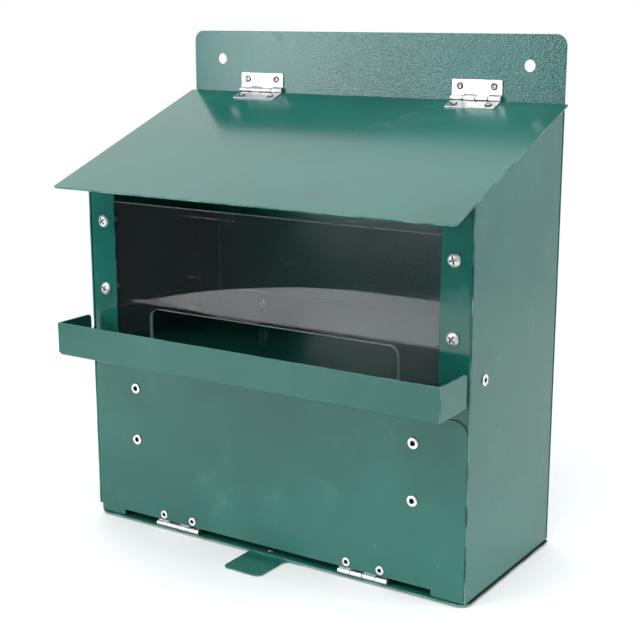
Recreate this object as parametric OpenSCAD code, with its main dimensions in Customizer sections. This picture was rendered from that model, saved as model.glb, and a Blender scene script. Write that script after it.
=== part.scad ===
// Wall-hung squirrel feeder in painted sheet steel: a cabinet with a food hopper
// above a closed lower compartment, a sloping hinged lid, a feeding tray, a clear
// window and a hinged bottom door. Millimetres, +X right, +Y back, +Z up.
// The origin lies on the resting plane, midway across the width and the depth.

/* [Sheet metal] */
// Thickness of the painted sheet
sheet_t = 1.2; // [0.8:0.1:1.8]
// Inner radius of each fold
bend_r = 1; // [0.4:0.1:2]
// Width of the flanges that the panels are welded along
flange_w = 22; // [12:1:30]
// Gap between a closed lid or door and the edges under or over it
panel_gap = 0.3; // [0.2:0.05:0.6]

/* [Cabinet] */
// Width over the side panels
cabinet_w = 320; // [290:1:400]
// Depth from the front panel to the rear of the back plate
cabinet_d = 134; // [120:1:180]
// Height of the side panels at their front edge
side_front_h = 268.3; // [262:0.1:320]
// Slope of the lid in degrees
lid_slope = 20.5; // [12:0.5:26]
// Height of the relief cut in the lower left front corner
relief_h = 5.4; // [2:0.1:10]
// Width of that relief cut across the front
relief_w = 3; // [2:0.1:6]
// Depth of that relief cut along the side panel
relief_d = 5; // [2:0.1:10]

/* [Back plate] */
// Rise of the back plate above the lid's hinge line
plate_rise = 45; // [38:0.5:80]
// Radius of its top corners
plate_corner_r = 8; // [2:0.5:15]
// Diameter of the two hanging holes
hang_hole_d = 8.5; // [5:0.5:12]
// Distance of the hanging holes from the plate's side edges
hang_hole_inset = 27; // [15:0.5:45]
// Drop of the hanging holes below the plate's top edge
hang_hole_drop = 21.7; // [15:0.1:24]

/* [Front panel] */
// Height of the lower front panel
front_panel_h = 125.4; // [115:0.1:128]
// Play between the front panel and each side panel
front_panel_play = 0.3; // [0.1:0.1:0.8]
// Radius of its top corners
front_corner_r = 10; // [3:0.5:20]
// Distance from the cabinet's side to the hinge slot in its lower edge
slot_inset = 26.1; // [24:0.1:40]
// Rounding of the slot's lower corners
slot_corner_r = 2; // [0.5:0.1:3]
// Gap between the door hinges' barrels and the slot's upper edge
slot_gap = 0.8; // [0.3:0.1:1.2]

/* [Window] */
// Width of each post's front face
post_face_w = 22.8; // [18:0.2:32]
// Depth of each post's leg along the side panel
post_leg_d = 26; // [24:0.5:40]
// Gap between the clear pane and the posts' legs
pane_play = 3.6; // [2:0.1:6]
// Height of the clear pane
pane_h = 109.3; // [104:0.1:118]
// Thickness of the clear pane
pane_t = 3; // [2:0.1:5]
// Distance of the feeding cut-out from the posts' inner edges
cutout_inset = 31; // [10:1:60]
// Height of the feeding cut-out in the pane
cutout_h = 32.3; // [15:0.1:38]
// Radius of the cut-out's top corners
cutout_r = 7; // [2:0.5:14]

/* [Window screws] */
// Distance of the screws from the post's inner edge
screw_inset = 9.7; // [9:0.1:11]
// Height of the lower screws above the pane's lower edge
screw_low = 43.4; // [30:0.1:48]
// Distance from the lower to the upper screws
screw_pitch = 51.1; // [35:0.1:56]
// Thread diameter
screw_d = 5; // [4:0.5:5]
// Diameter of the pan head
screw_head_d = 9.3; // [9:0.1:11]
// Height of the pan head
screw_head_h = 2.6; // [2.5:0.1:4]
// Length under the head
screw_l = 13; // [12:0.5:20]
// Diameter of the washers
washer_d = 10; // [9.5:0.1:12]
// Thickness of the washers
washer_t = 1; // [0.6:0.1:1.5]
// Width across the flats of the nuts
nut_w = 8; // [7:0.5:9]
// Height of the nuts
nut_h = 4; // [3:0.1:4.4]

/* [Feeding tray] */
// Height of the tray's underside above the cabinet's lower edge
tray_h = 134; // [130:0.5:150]
// Reach of the tray in front of the front panel
tray_reach = 39.2; // [30:0.2:60]
// Height of the tray's lips and of its inner flanges
lip_h = 24.4; // [22:0.1:40]
// Inset of the tray's ends from the cabinet's sides
tray_inset = 1.5; // [0.5:0.1:5]
// Gap between the side lips and the front panel's plane
tray_back_gap = 2.1; // [1:0.1:5]
// Rounding of the side lips' rear top corners
lip_corner_r = 3.5; // [1:0.5:8]

/* [Lid] */
// Overhang of the lid beyond the front panel
lid_overhang = 32.5; // [15:0.5:50]
// Overhang of the lid beyond each side panel
lid_side_overhang = 3.3; // [1:0.1:10]
// Radius of the lid's front corners
lid_corner_r = 3; // [2:0.5:20]
// Gap between the lid's rear edge and the back plate
lid_rear_gap = 0.5; // [0.4:0.1:1]

/* [Bottom door] */
// Overhang of the door beyond the right side panel
door_right_overhang = 1.5; // [0:0.1:4]
// Overhang of the door beyond the left side panel
door_left_overhang = -0.5; // [-1:0.1:4]
// Overhang of the door in front of the front panel
door_front_overhang = 1.4; // [1:0.1:2.6]
// Radius of the door's corners
door_corner_r = 8; // [2:0.5:15]
// Thickness of the pull tab
tab_t = 1.2; // [1:0.1:1.6]
// Width of the pull tab
tab_w = 32.5; // [20:0.5:45]
// Reach of the pull tab in front of the front panel
tab_reach = 33.5; // [20:0.5:38]
// Offset of the pull tab from the middle
tab_x = 1.2; // [-10:0.1:10]
// Length of the tab's root under the door
tab_root = 20; // [14:0.5:40]
// Radius of the tab's front corners
tab_corner_r = 5; // [1:0.5:10]
// Radius of the fillet where the tab widens into its root
tab_fillet_r = 6; // [2:0.5:8]
// Distance of the tab's rivet behind the front panel's face
tab_rivet_y = 6.5; // [5:0.5:12]

/* [Hinges] */
// Length of each hinge
hinge_l = 39.6; // [36:0.1:42]
// Diameter of the hinge barrels
barrel_d = 3.8; // [3.6:0.1:4.2]
// Diameter of the hinge pins
pin_d = 2; // [1.6:0.1:2.2]
// Radial clearance of the hinge pins
pin_play = 0.05; // [0.02:0.01:0.1]
// Thickness of the leaves
leaf_t = 1; // [0.8:0.1:1.2]
// Length of the leaves from the pin's axis
leaf_reach = 13; // [12:0.1:16]
// Gap between neighbouring knuckles
knuckle_gap = 0.3; // [0.2:0.05:0.5]
// Distance between a leaf's two holes
leaf_hole_spacing = 27; // [22:0.5:30]
// Distance of the lid hinges' middles from the cabinet's sides
lid_hinge_inset = 66.5; // [45:0.5:90]
// Distance of the door hinges' middles from the cabinet's sides
door_hinge_inset = 78.8; // [50:0.1:90]
// Distance of the lid hinges' holes from the pin's axis
lid_hole_reach = 8.3; // [7:0.1:9]
// Distance of the door hinges' holes from the pin's axis
door_hole_reach = 7.2; // [6.8:0.1:9]

/* [Rivets] */
// Head diameter of the large blind rivets
large_head_d = 8; // [7:0.1:9]
// Shank diameter of the large blind rivets
large_shank_d = 4; // [3.2:0.1:4.8]
// Head diameter of the rivets on the door hinges
mid_head_d = 6.4; // [6:0.1:6.8]
// Shank diameter of the rivets on the door hinges
mid_shank_d = 3.2; // [2.4:0.1:3.6]
// Head diameter of the rivets on the lid hinges
small_head_d = 5.4; // [4.2:0.1:6]
// Shank diameter of the rivets on the lid hinges
small_shank_d = 2.8; // [2:0.1:3.2]
// Play of a shank in its hole
rivet_play = 0.05; // [0.02:0.01:0.1]
// Height of the side rivets above the tray's underside
side_rivet_z = 15.7; // [12:0.1:17]
// Distance of the side rivets behind the front panel's face
side_rivet_y = 19.3; // [18:0.1:20]
// Distance of the rear tray rivets from the cabinet's sides
rear_rivet_inset = 65.4; // [45:0.1:100]
// Height of the rear tray rivets above the tray's underside
rear_rivet_z = 14.6; // [12:0.1:17]

/* [Tray brackets] */
// Distance of the brackets' middles from the cabinet's sides
bracket_inset = 41; // [38:0.5:60]
// Width of each bracket
bracket_w = 20; // [16:0.5:24]
// Thickness of each bracket
bracket_t = 1.5; // [1:0.1:2]
// Length of each bracket under the tray's floor
bracket_arm = 60; // [30:1:90]
// Height of the brackets' lower rivets above the cabinet's lower edge
bracket_rivet_low = 64.6; // [50:0.1:75]
// Distance from the lower to the upper bracket rivets
bracket_rivet_pitch = 40.3; // [25:0.1:46]
// Margin of each bracket below its lower rivet
bracket_margin = 10; // [8:0.5:20]

/* [Door catch] */
// Diameter of the catch magnet
magnet_d = 20; // [14:1:24]
// Height of the catch magnet
magnet_h = 7; // [5:0.5:10]
// Width of the magnet's bracket
catch_w = 30; // [26:1:40]
// Height of the bracket's upright along the back plate
catch_upright = 24; // [20:1:40]
// Distance between the two rivets in that upright
catch_rivet_spacing = 16; // [12:0.5:18]
// Height of those rivets above the magnet
catch_rivet_rise = 14.4; // [10:0.1:16]

/* [Hidden] */
$fn = 64;

green = [0.25, 0.45, 0.41];
zinc = [0.86, 0.87, 0.88];
clear = [0.75, 0.82, 0.85, 0.35];
dark = [0.18, 0.18, 0.2];

// A length that is longer than the feeder, for cutting tools
far = 2 * (cabinet_w + cabinet_d + side_front_h);
// Overlap of a cutting tool past the face that it cuts
over = 1;
fold_r = sheet_t + bend_r;

// Rivet proportions: head height, rim, dome and crown, bore, tail
rivet_head_ratio = 0.14;
rivet_rim_ratio = 0.3;
rivet_brow_ratio = 0.85;
rivet_dome_ratio = 0.4;
rivet_crown_ratio = 0.28;
rivet_core_ratio = 0.28;
rivet_tail_ratio = 0.68;
rivet_tip_ratio = 0.6;

// Screw head proportions: dome radius and the cross recess
screw_dome_ratio = 0.72;
cross_length_ratio = 0.52;
cross_width_ratio = 0.13;
cross_depth_ratio = 0.55;

// Planes across the depth
front_reach = max(tray_reach, lid_overhang, tab_reach);
front_y = (front_reach - cabinet_d) / 2;
rear_y = front_y + cabinet_d;
plate_y = rear_y - sheet_t;
post_y = front_y + sheet_t;
pane_y = post_y + sheet_t;
pane_back_y = pane_y + pane_t;

// Planes up the height
door_z = tab_t;
door_top_z = door_z + sheet_t;
base_z = door_top_z + panel_gap;
tray_z = base_z + tray_h;
floor_z = tray_z + sheet_t;
side_top_z = base_z + side_front_h;

// Planes across the width
side_x = cabinet_w / 2;
side_in_x = side_x - sheet_t;
post_in_x = side_in_x - post_face_w;
leg_in_x = side_in_x - sheet_t;
flange_in_x = side_x - flange_w;
slot_x = side_x - slot_inset;
pane_x = leg_in_x - pane_play;
cutout_x = post_in_x - cutout_inset;
hang_hole_x = side_x - hang_hole_inset;
lid_hinge_x = side_x - lid_hinge_inset;
door_hinge_x = side_x - door_hinge_inset;
rear_rivet_x = side_x - rear_rivet_inset;
bracket_x = side_x - bracket_inset;

// Hinge geometry: the barrels stand clear of the plates that the leaves lie on
barrel_rise = barrel_d / 2 + panel_gap;
knuckle_n = 4;
knuckle_l = (hinge_l - (knuckle_n - 1) * knuckle_gap) / knuckle_n;

// Lid frame: v runs up the slope from the side panels' front top edge, w is square to it
lid_w = panel_gap;
lid_axis_w = lid_w + sheet_t + barrel_rise;
lid_axis_y = plate_y - barrel_rise;
lid_axis_v = (lid_axis_y - front_y + lid_axis_w * sin(lid_slope)) / cos(lid_slope);
lid_axis_z = side_top_z + lid_axis_v * sin(lid_slope) + lid_axis_w * cos(lid_slope);
lid_front_v = -lid_overhang / cos(lid_slope);
lid_rear_v = (plate_y - lid_rear_gap - front_y + lid_w * sin(lid_slope)) / cos(lid_slope);
plate_top_z = lid_axis_z + plate_rise;
hang_hole_z = plate_top_z - hang_hole_drop;

door_axis_y = post_y + leaf_t - barrel_rise;
door_axis_z = door_top_z + barrel_rise;
slot_h = door_axis_z + barrel_d / 2 + slot_gap - base_z;
front_rivet_z = door_axis_z + door_hole_reach;

// Feeding tray
tray_x = side_x - tray_inset;
tray_front_y = front_y - tray_reach;
tray_back_y = front_y - tray_back_gap;
neck_x = post_in_x - panel_gap;
inner_front_y = pane_y + bend_r;
inner_x = leg_in_x;
rear_flange_x = flange_in_x - panel_gap;
side_flange_back_y = plate_y - sheet_t - panel_gap;

// Window
screw_x = post_in_x + screw_inset;
screw_zs = [floor_z + screw_low, floor_z + screw_low + screw_pitch];

bracket_zs = [base_z + bracket_rivet_low, base_z + bracket_rivet_low + bracket_rivet_pitch];
catch_z = base_z + magnet_h;
magnet_y = plate_y - sheet_t - bend_r - magnet_d / 2;
catch_rivet_z = catch_z + catch_rivet_rise;

// Plain shapes

// Folded section with legs along +x and +y and its outer corner at the origin
module fold_2d(leg_x, leg_y, t = sheet_t) {
    difference() {
        union() {
            translate([t + bend_r, t + bend_r]) circle(t + bend_r);
            translate([t + bend_r, 0]) square([leg_x - t - bend_r, t + bend_r]);
            translate([0, t + bend_r]) square([t + bend_r, leg_y - t - bend_r]);
        }
        translate([t + bend_r, t + bend_r]) circle(bend_r);
        translate([t + bend_r, t]) square([leg_x, t + 2 * bend_r]);
        translate([t, t + bend_r]) square([t + 2 * bend_r, leg_y]);
    }
}

// Rectangle on the x axis, centred, with both top corners rounded
module arch_2d(w, h, r) {
    translate([-w / 2, 0]) square([w, h - r]);
    translate([r - w / 2, 0]) square([w - 2 * r, h]);
    for (s = [-1, 1]) translate([s * (w / 2 - r), h - r]) circle(r);
}

// What a concave quarter round of radius r adds in the corner at the origin
module fillet_2d(r) {
    difference() {
        square([r, r]);
        translate([r, r]) circle(r);
    }
}

// Upright plate from a front-view outline, from y back over thickness t
module upright(y, t) {
    translate([0, y + t, 0]) rotate([90, 0, 0]) linear_extrude(t) children();
}

// Lengthwise strip with its section seen from the side, centred on x = 0
module strip_x(length) {
    translate([-length / 2, 0, 0]) rotate([90, 0, 90]) linear_extrude(length) children();
}

// Turns a piece that stands along +z so that it points to the front, or to the right
module to_front() { rotate([90, 0, 0]) children(); }
module to_right() { rotate([0, 90, 0]) children(); }

// Both sides of the feeder
module both_sides() {
    children();
    mirror([1, 0, 0]) children();
}

// Frame of the sloping lid
module on_slope() {
    translate([0, front_y, side_top_z]) rotate([lid_slope, 0, 0]) children();
}

// Everything above the side panels' sloping top edge
module above_slope() {
    on_slope() translate([-far / 2, -far / 2, 0]) cube([far, far, far]);
}

// Round hole through sheet, along +z and past both ends
module hole(d, depth) {
    translate([0, 0, -over]) cylinder(d = d, h = depth + 2 * over);
}

// Fasteners

// Domed head and bore of a blind rivet, as points from the axis out, less the shank
function rivet_head(head_d, shank_d) =
    let (h = head_d * rivet_head_ratio, core_r = shank_d * rivet_core_ratio)
    [
        [shank_d / 2, 0], [head_d / 2, 0], [head_d / 2, h * rivet_rim_ratio],
        [head_d * rivet_dome_ratio, h * rivet_brow_ratio], [head_d * rivet_crown_ratio, h],
        [core_r, h], [core_r, -h], [0, -h]
    ];

// Blind rivet along +z with its head at the top and the sheets just below z = 0
module blind_rivet(head_d, shank_d, grip) {
    tail_r = shank_d * rivet_tail_ratio;
    tail_h = shank_d / 2;
    rotate_extrude() polygon(concat(rivet_head(head_d, shank_d), [
        [0, -grip - tail_h], [tail_r * rivet_tip_ratio, -grip - tail_h],
        [tail_r, -grip - tail_h / 2], [tail_r, -grip], [shank_d / 2, -grip]
    ]));
}

// Rivet whose far end is flush with the last sheet
module flush_rivet(head_d, shank_d, grip) {
    rotate_extrude() polygon(concat(rivet_head(head_d, shank_d), [
        [0, -grip], [shank_d / 2, -grip]
    ]));
}

// Pan head screw along +z with its head above z = 0 and a cross recess
module pan_screw() {
    dome_r = screw_head_d * screw_dome_ratio;
    recess_l = screw_head_d * cross_length_ratio;
    recess_w = screw_head_d * cross_width_ratio;
    recess_h = screw_head_h * cross_depth_ratio;
    difference() {
        union() {
            translate([0, 0, -screw_l]) cylinder(d = screw_d, h = screw_l + over);
            intersection() {
                cylinder(d = screw_head_d, h = screw_head_h);
                translate([0, 0, screw_head_h - dome_r]) sphere(dome_r);
            }
        }
        for (a = [0, 90]) rotate([0, 0, a])
            translate([-recess_l / 2, -recess_w / 2, screw_head_h - recess_h])
                cube([recess_l, recess_w, recess_h + over]);
    }
}

// Hinges

// Leaf along +y under an axis on x. Its outer face is barrel_rise below the axis.
// It owns every second knuckle, counted from the left, beginning with the one given.
module hinge_leaf(first, hole_reach, hole_d) {
    plate_start = barrel_d / 2 + panel_gap;
    difference() {
        union() {
            translate([-hinge_l / 2, plate_start, -barrel_rise])
                cube([hinge_l, leaf_reach - plate_start, leaf_t]);
            for (k = [first : 2 : knuckle_n - 1])
                translate([k * (knuckle_l + knuckle_gap) - hinge_l / 2, 0, 0]) {
                    translate([0, 0, -barrel_rise]) cube([knuckle_l, plate_start + over, leaf_t]);
                    to_right() cylinder(d = barrel_d, h = knuckle_l);
                }
        }
        translate([-hinge_l / 2, 0, 0]) to_right() hole(pin_d + 2 * pin_play, hinge_l);
        for (s = [-1, 1]) translate([s * leaf_hole_spacing / 2, hole_reach, -barrel_rise])
            hole(hole_d, leaf_t);
    }
}

module hinge_pin() {
    translate([-hinge_l / 2, 0, 0]) to_right() cylinder(d = pin_d, h = hinge_l);
}

// Places on the lid's and on the door's hinge line
module at_lid_hinge(side) {
    translate([side * lid_hinge_x, lid_axis_y, lid_axis_z]) children();
}
module at_door_hinge(side) {
    translate([side * door_hinge_x, door_axis_y, door_axis_z]) children();
}
// Both holes of both hinges, at a distance from the middle
module at_leaf_holes(hinge_x) {
    for (side = [-1, 1], s = [-1, 1])
        translate([side * hinge_x + s * leaf_hole_spacing / 2, 0, 0]) children();
}

// Cabinet

module back_plate() {
    color(green) difference() {
        upright(plate_y, sheet_t) translate([0, base_z])
            arch_2d(cabinet_w, plate_top_z - base_z, plate_corner_r);
        for (s = [-1, 1]) translate([s * hang_hole_x, rear_y, hang_hole_z])
            to_front() hole(hang_hole_d, sheet_t);
        for (s = [-1, 1]) translate([s * rear_rivet_x, rear_y, tray_z + rear_rivet_z])
            to_front() hole(large_shank_d + 2 * rivet_play, sheet_t);
        for (s = [-1, 1]) translate([s * catch_rivet_spacing / 2, rear_y, catch_rivet_z])
            to_front() hole(mid_shank_d + 2 * rivet_play, sheet_t);
        at_leaf_holes(lid_hinge_x) translate([0, rear_y, lid_axis_z + lid_hole_reach])
            to_front() hole(small_shank_d + 2 * rivet_play, sheet_t);
    }
}

// Right side panel, folded inwards at the back
module side_panel() {
    difference() {
        translate([side_x, plate_y, base_z]) rotate([0, 0, 180])
            linear_extrude(side_front_h + cabinet_d) fold_2d(flange_w, plate_y - front_y);
        above_slope();
        translate([side_in_x, front_y + side_rivet_y, tray_z + side_rivet_z])
            to_right() hole(large_shank_d + 2 * rivet_play, sheet_t);
    }
}

// Relief cut through the side panel and the front panel at the lower left corner
module corner_relief() {
    translate([-side_x - over, front_y - over, base_z - over])
        cube([relief_w + over, relief_d + over, relief_h + over]);
}

module left_side_panel() {
    color(green) difference() {
        mirror([1, 0, 0]) side_panel();
        corner_relief();
    }
}
module right_side_panel() { color(green) side_panel(); }

// Right post: its face is behind the front panel's plane, its leg lies on the side panel
module window_post() {
    color(green) difference() {
        translate([side_in_x, post_y, base_z]) mirror([1, 0, 0])
            linear_extrude(side_front_h + cabinet_d) fold_2d(post_face_w, post_leg_d);
        above_slope();
        for (z = screw_zs) translate([screw_x, pane_y, z])
            to_front() hole(screw_d + 2 * rivet_play, sheet_t);
        translate([leg_in_x, front_y + side_rivet_y, tray_z + side_rivet_z])
            to_right() hole(large_shank_d + 2 * rivet_play, sheet_t);
    }
}
module left_window_post() { mirror([1, 0, 0]) window_post(); }
module right_window_post() { window_post(); }

module front_panel() {
    panel_w = 2 * (side_in_x - front_panel_play);
    color(green) difference() {
        upright(front_y, sheet_t) translate([0, base_z]) difference() {
            arch_2d(panel_w, front_panel_h, front_corner_r);
            translate([-slot_x, -over]) square([2 * slot_x, slot_h + over]);
            for (m = [0, 1]) mirror([m, 0]) translate([slot_x, 0]) fillet_2d(slot_corner_r);
        }
        corner_relief();
        for (s = [-1, 1], z = bracket_zs) translate([s * bracket_x, post_y, z])
            to_front() hole(large_shank_d + 2 * rivet_play, sheet_t);
        at_leaf_holes(door_hinge_x) translate([0, post_y, front_rivet_z])
            to_front() hole(mid_shank_d + 2 * rivet_play, sheet_t);
    }
}

// Tray and inner floor in one folded sheet, notched round the window posts
module feeding_tray() {
    fold_run = fold_r + over;
    lip_l = tray_back_y - tray_front_y;
    flange_l = side_flange_back_y - inner_front_y;
    color(green) difference() {
        union() {
            translate([0, 0, tray_z]) linear_extrude(sheet_t) {
                translate([fold_r - tray_x, tray_front_y + fold_r])
                    square([2 * (tray_x - fold_r), lip_l - fold_r]);
                translate([-neck_x, tray_back_y - over])
                    square([2 * neck_x, inner_front_y - tray_back_y + 2 * over]);
                translate([fold_r - inner_x, inner_front_y])
                    square([2 * (inner_x - fold_r), flange_l]);
                translate([-rear_flange_x, inner_front_y])
                    square([2 * rear_flange_x, plate_y - fold_r - inner_front_y]);
            }
            translate([0, tray_front_y, tray_z]) strip_x(2 * tray_x) fold_2d(fold_run, lip_h);
            translate([0, plate_y, tray_z]) mirror([0, 1, 0])
                strip_x(2 * rear_flange_x) fold_2d(fold_run, lip_h);
            both_sides() {
                translate([-tray_x, tray_back_y, tray_z]) to_front()
                    linear_extrude(lip_l) fold_2d(fold_run, lip_h);
                translate([-inner_x, side_flange_back_y, tray_z]) to_front()
                    linear_extrude(flange_l) fold_2d(fold_run, lip_h);
            }
        }
        translate([0, tray_back_y, tray_z + lip_h]) mirror([0, 0, 1]) mirror([0, 1, 0])
            strip_x(far) fillet_2d(lip_corner_r);
        for (s = [-1, 1]) translate([s * rear_rivet_x, plate_y, tray_z + rear_rivet_z])
            to_front() hole(large_shank_d + 2 * rivet_play, sheet_t);
        both_sides() translate([inner_x - sheet_t, front_y + side_rivet_y, tray_z + side_rivet_z])
            to_right() hole(large_shank_d + 2 * rivet_play, sheet_t);
    }
}

module window_pane() {
    color(clear) difference() {
        upright(pane_y, pane_t) translate([0, floor_z]) difference() {
            translate([-pane_x, 0]) square([2 * pane_x, pane_h]);
            translate([0, -over]) arch_2d(2 * cutout_x, cutout_h + over, cutout_r);
        }
        for (s = [-1, 1], z = screw_zs) translate([s * screw_x, pane_back_y, z])
            to_front() hole(screw_d + 2 * rivet_play, pane_t);
    }
}

// The four window screw places, on a plane across the depth
module at_window_screws(y) {
    for (s = [-1, 1], z = screw_zs) translate([s * screw_x, y, z]) to_front() children();
}

module window_screws() { color(zinc) at_window_screws(post_y) pan_screw(); }

module window_washers() {
    color(zinc) at_window_screws(pane_back_y + washer_t) difference() {
        cylinder(d = washer_d, h = washer_t);
        hole(screw_d + 2 * rivet_play, washer_t);
    }
}

module window_nuts() {
    color(zinc) at_window_screws(pane_back_y + washer_t + nut_h) difference() {
        cylinder(d = nut_w / cos(30), h = nut_h, $fn = 6);
        hole(screw_d + 2 * rivet_play, nut_h);
    }
}

// Right bracket: upright leg on the front panel, arm under the tray's floor
module tray_bracket() {
    drop = tray_z - bracket_zs[0] + bracket_margin;
    color(green) difference() {
        translate([bracket_x, post_y, tray_z]) mirror([0, 0, 1])
            strip_x(bracket_w) fold_2d(bracket_arm, drop, bracket_t);
        for (z = bracket_zs) translate([bracket_x, post_y + bracket_t, z])
            to_front() hole(large_shank_d + 2 * rivet_play, bracket_t);
    }
}
module left_tray_bracket() { mirror([1, 0, 0]) tray_bracket(); }
module right_tray_bracket() { tray_bracket(); }

module bracket_rivets() {
    color(zinc) for (s = [-1, 1], z = bracket_zs) translate([s * bracket_x, front_y, z])
        to_front() blind_rivet(large_head_d, large_shank_d, sheet_t + bracket_t);
}

module tray_side_rivets() {
    color(zinc) both_sides()
        translate([side_x, front_y + side_rivet_y, tray_z + side_rivet_z])
            to_right() blind_rivet(large_head_d, large_shank_d, 3 * sheet_t);
}

module tray_rear_rivets() {
    color(zinc) for (s = [-1, 1])
        translate([s * rear_rivet_x, plate_y - sheet_t, tray_z + rear_rivet_z])
            to_front() flush_rivet(large_head_d, large_shank_d, 2 * sheet_t);
}

// Lid

module lid_panel() {
    color(green) difference() {
        on_slope() translate([0, lid_rear_v, lid_w]) linear_extrude(sheet_t) mirror([0, 1])
            arch_2d(cabinet_w + 2 * lid_side_overhang, lid_rear_v - lid_front_v, lid_corner_r);
        on_slope() at_leaf_holes(lid_hinge_x) translate([0, lid_axis_v - lid_hole_reach, lid_w])
            hole(small_shank_d + 2 * rivet_play, sheet_t);
    }
}

module lid_hinge_fixed_leaf(side) {
    color(zinc) at_lid_hinge(side) rotate([90, 0, 0])
        hinge_leaf(0, lid_hole_reach, small_shank_d + 2 * rivet_play);
}
module left_lid_hinge_fixed_leaf() { lid_hinge_fixed_leaf(-1); }
module right_lid_hinge_fixed_leaf() { lid_hinge_fixed_leaf(1); }

// Turned round, so that its first knuckle is the last one counted from the left
module lid_hinge_moving_leaf(side) {
    color(zinc) at_lid_hinge(side) rotate([lid_slope, 0, 0]) rotate([0, 0, 180])
        hinge_leaf(0, lid_hole_reach, small_shank_d + 2 * rivet_play);
}
module left_lid_hinge_moving_leaf() { lid_hinge_moving_leaf(-1); }
module right_lid_hinge_moving_leaf() { lid_hinge_moving_leaf(1); }

module left_lid_hinge_pin() { color(zinc) at_lid_hinge(-1) hinge_pin(); }
module right_lid_hinge_pin() { color(zinc) at_lid_hinge(1) hinge_pin(); }

module lid_hinge_rear_rivets() {
    color(zinc) at_leaf_holes(lid_hinge_x)
        translate([0, plate_y - leaf_t, lid_axis_z + lid_hole_reach])
            to_front() flush_rivet(small_head_d, small_shank_d, leaf_t + sheet_t);
}

module lid_hinge_lid_rivets() {
    color(zinc) on_slope() at_leaf_holes(lid_hinge_x)
        translate([0, lid_axis_v - lid_hole_reach, lid_w + sheet_t + leaf_t])
            blind_rivet(small_head_d, small_shank_d, leaf_t + sheet_t);
}

// Bottom door

module bottom_door() {
    door_w = cabinet_w + door_left_overhang + door_right_overhang;
    door_x = (door_right_overhang - door_left_overhang) / 2;
    door_l = cabinet_d + door_front_overhang;
    color(green) difference() {
        translate([door_x, rear_y, door_z]) linear_extrude(sheet_t) intersection() {
            mirror([0, 1]) arch_2d(door_w, door_l, door_corner_r);
            translate([0, -door_l]) arch_2d(door_w, door_l, door_corner_r);
        }
        at_leaf_holes(door_hinge_x) translate([0, door_axis_y + door_hole_reach, door_z])
            hole(mid_shank_d + 2 * rivet_play, sheet_t);
        translate([0, front_y + tab_rivet_y, door_z])
            hole(large_shank_d + 2 * rivet_play, sheet_t);
    }
}

// Flat tab under the door's front edge, filleted into its wider root on the right
module pull_tab() {
    edge_y = front_y - door_front_overhang;
    root_w = tab_w + 2 * tab_fillet_r;
    color(green) difference() {
        linear_extrude(tab_t) {
            translate([tab_x, edge_y]) mirror([0, 1])
                arch_2d(tab_w, tab_reach - door_front_overhang, tab_corner_r);
            translate([tab_x - tab_w / 2, edge_y])
                square([root_w, tab_root + door_front_overhang]);
            translate([tab_x + tab_w / 2, edge_y]) mirror([0, 1]) fillet_2d(tab_fillet_r);
        }
        translate([0, front_y + tab_rivet_y, 0]) hole(large_shank_d + 2 * rivet_play, tab_t);
    }
}

module pull_tab_rivet() {
    color(zinc) translate([0, front_y + tab_rivet_y, door_top_z])
        flush_rivet(mid_head_d, large_shank_d, tab_t + sheet_t);
}

module door_hinge_fixed_leaf(side) {
    color(zinc) at_door_hinge(side) rotate([90, 0, 0])
        hinge_leaf(0, door_hole_reach, mid_shank_d + 2 * rivet_play);
}
module left_door_hinge_fixed_leaf() { door_hinge_fixed_leaf(-1); }
module right_door_hinge_fixed_leaf() { door_hinge_fixed_leaf(1); }

module door_hinge_moving_leaf(side) {
    color(zinc) at_door_hinge(side) hinge_leaf(1, door_hole_reach, mid_shank_d + 2 * rivet_play);
}
module left_door_hinge_moving_leaf() { door_hinge_moving_leaf(-1); }
module right_door_hinge_moving_leaf() { door_hinge_moving_leaf(1); }

module left_door_hinge_pin() { color(zinc) at_door_hinge(-1) hinge_pin(); }
module right_door_hinge_pin() { color(zinc) at_door_hinge(1) hinge_pin(); }

module door_hinge_front_rivets() {
    color(zinc) at_leaf_holes(door_hinge_x) translate([0, front_y, front_rivet_z])
        to_front() blind_rivet(mid_head_d, mid_shank_d, sheet_t + leaf_t);
}

module door_hinge_door_rivets() {
    color(zinc) at_leaf_holes(door_hinge_x)
        translate([0, door_axis_y + door_hole_reach, door_z]) rotate([180, 0, 0])
            blind_rivet(mid_head_d, mid_shank_d, sheet_t + leaf_t);
}

// Door catch

// Upright on the back plate, with a shelf over the magnet
module catch_bracket() {
    shelf_l = magnet_d + 2 * fold_r;
    color(green) difference() {
        translate([0, plate_y, catch_z]) mirror([0, 1, 0])
            strip_x(catch_w) fold_2d(shelf_l, catch_upright);
        for (s = [-1, 1]) translate([s * catch_rivet_spacing / 2, plate_y, catch_rivet_z])
            to_front() hole(mid_shank_d + 2 * rivet_play, sheet_t);
        translate([0, magnet_y, catch_z]) hole(mid_shank_d + 2 * rivet_play, sheet_t);
    }
}

// Pot magnet, countersunk from below
module catch_magnet() {
    color(dark) translate([0, magnet_y, base_z]) difference() {
        cylinder(d = magnet_d, h = magnet_h);
        hole(mid_shank_d + 2 * rivet_play, magnet_h);
        translate([0, 0, -over]) cylinder(d = mid_head_d + 2 * rivet_play, h = magnet_h / 2 + over);
    }
}

// The head sits in the counterbore and the tail on the shelf
module catch_magnet_rivet() {
    color(zinc) translate([0, magnet_y, base_z + magnet_h / 2]) rotate([180, 0, 0])
        blind_rivet(mid_head_d, mid_shank_d, magnet_h / 2 + sheet_t);
}

module catch_bracket_rivets() {
    color(zinc) for (s = [-1, 1])
        translate([s * catch_rivet_spacing / 2, plate_y - sheet_t, catch_rivet_z])
            to_front() flush_rivet(mid_head_d, mid_shank_d, 2 * sheet_t);
}

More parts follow.
